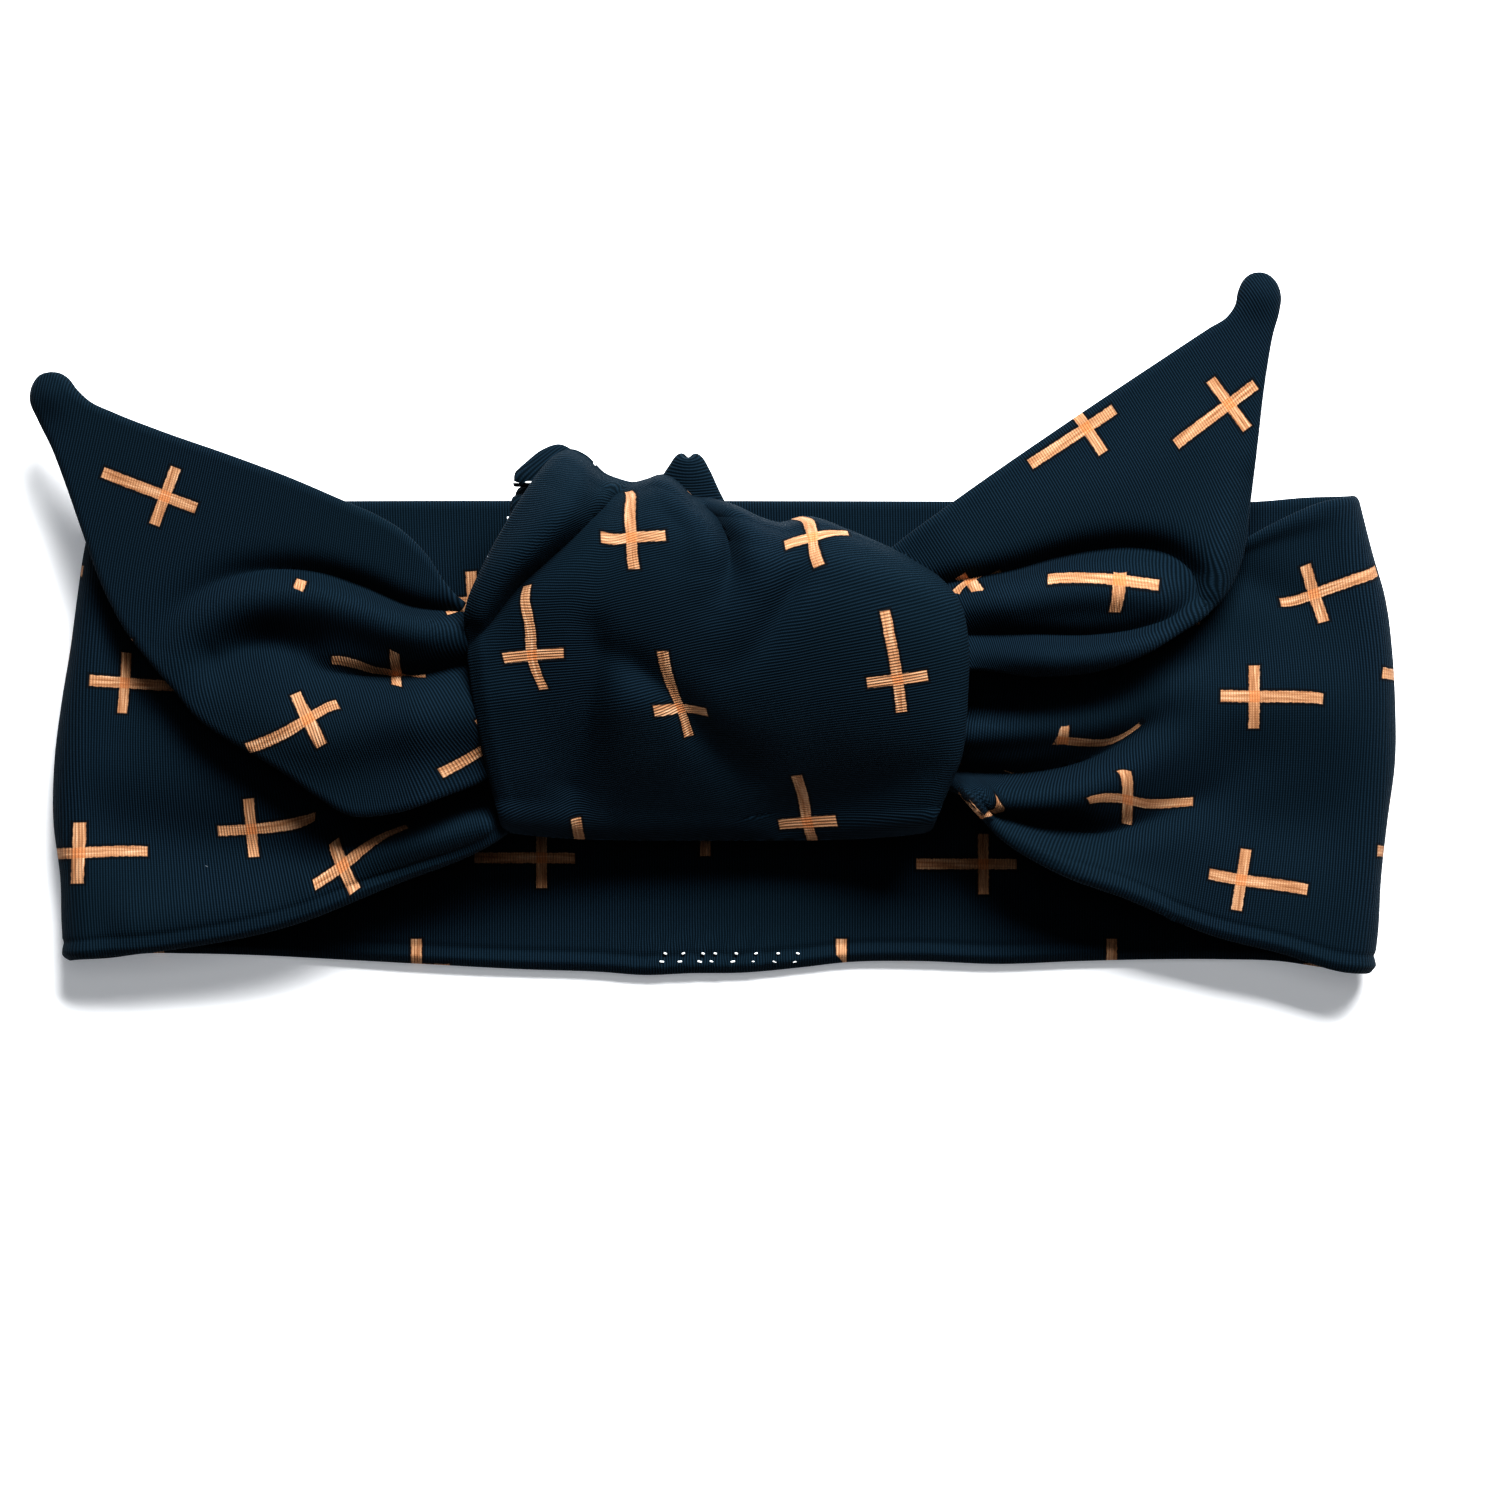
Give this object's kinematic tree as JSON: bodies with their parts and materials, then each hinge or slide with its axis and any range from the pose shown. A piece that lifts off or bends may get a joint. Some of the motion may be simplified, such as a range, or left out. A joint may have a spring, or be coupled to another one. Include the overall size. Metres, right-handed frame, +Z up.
{
  "type": "knotted jersey headband",
  "caption": "Soft knotted headband of doubled printed jersey with two pointed ears, lying flat.",
  "frame": {"origin": "middle of the flat face of the back of the band, which lies on the table", "axes": "+X along the band, to the right of someone facing the knot; +Y towards the crown; +Z up from the table"},
  "size_m": [0.2323, 0.1177, 0.0364],
  "materials": {
    "printed_jersey": "dark navy fine-rib jersey with a copper cross print",
    "overlocked_edge": "raw jersey edges, overlocked",
    "white_thread": "spun polyester sewing thread"
  },
  "bodies": {
    "band": {"back_outer_leaf": "printed_jersey", "back_lining_leaf": "printed_jersey", "left_fold_outer_leaf": "printed_jersey", "left_fold_lining_leaf": "printed_jersey", "right_fold_outer_leaf": "printed_jersey", "right_fold_lining_leaf": "printed_jersey", "lower_seam_allowance": "overlocked_edge", "turning_gap_stitches": "white_thread", "left_front_outer_leaf": "printed_jersey", "left_front_lining_leaf": "printed_jersey", "left_front_seam_allowance": "overlocked_edge", "right_front_outer_leaf": "printed_jersey", "right_front_lining_leaf": "printed_jersey", "right_front_seam_allowance": "overlocked_edge"},
    "knot": {"knot_wrap_outer_leaf": "printed_jersey", "knot_wrap_lining_leaf": "printed_jersey", "knot_left_strand": "printed_jersey", "knot_right_strand": "printed_jersey", "knot_left_tuck": "printed_jersey", "knot_right_tuck": "printed_jersey", "knot_seam_stitches": "white_thread"},
    "left_ear": {"left_ear_front_leaf": "printed_jersey", "left_ear_back_leaf": "printed_jersey", "left_ear_seam_allowance": "overlocked_edge"},
    "right_ear": {"right_ear_front_leaf": "printed_jersey", "right_ear_back_leaf": "printed_jersey", "right_ear_seam_allowance": "overlocked_edge"}
  },
  "joints": [
    {"name": "loop_opening", "type": "slide", "parent": "band", "child": "knot", "axis": [0, 0, 1], "range_m": [0, 0.035], "deforming": ["left_front_outer_leaf", "left_front_lining_leaf", "left_front_seam_allowance", "right_front_outer_leaf", "right_front_lining_leaf", "right_front_seam_allowance"]},
    {"name": "left_ear_lift", "type": "hinge", "parent": "knot", "child": "left_ear", "pos_m": [-0.04461, 0.0055, 0.02622], "axis": [0, 1, 0], "range_deg": [0, 70]},
    {"name": "right_ear_lift", "type": "hinge", "parent": "knot", "child": "right_ear", "pos_m": [0.03521, 0.024, 0.02735], "axis": [0.6219, -0.7753, -0.11], "range_deg": [0, 70]}
  ]
}
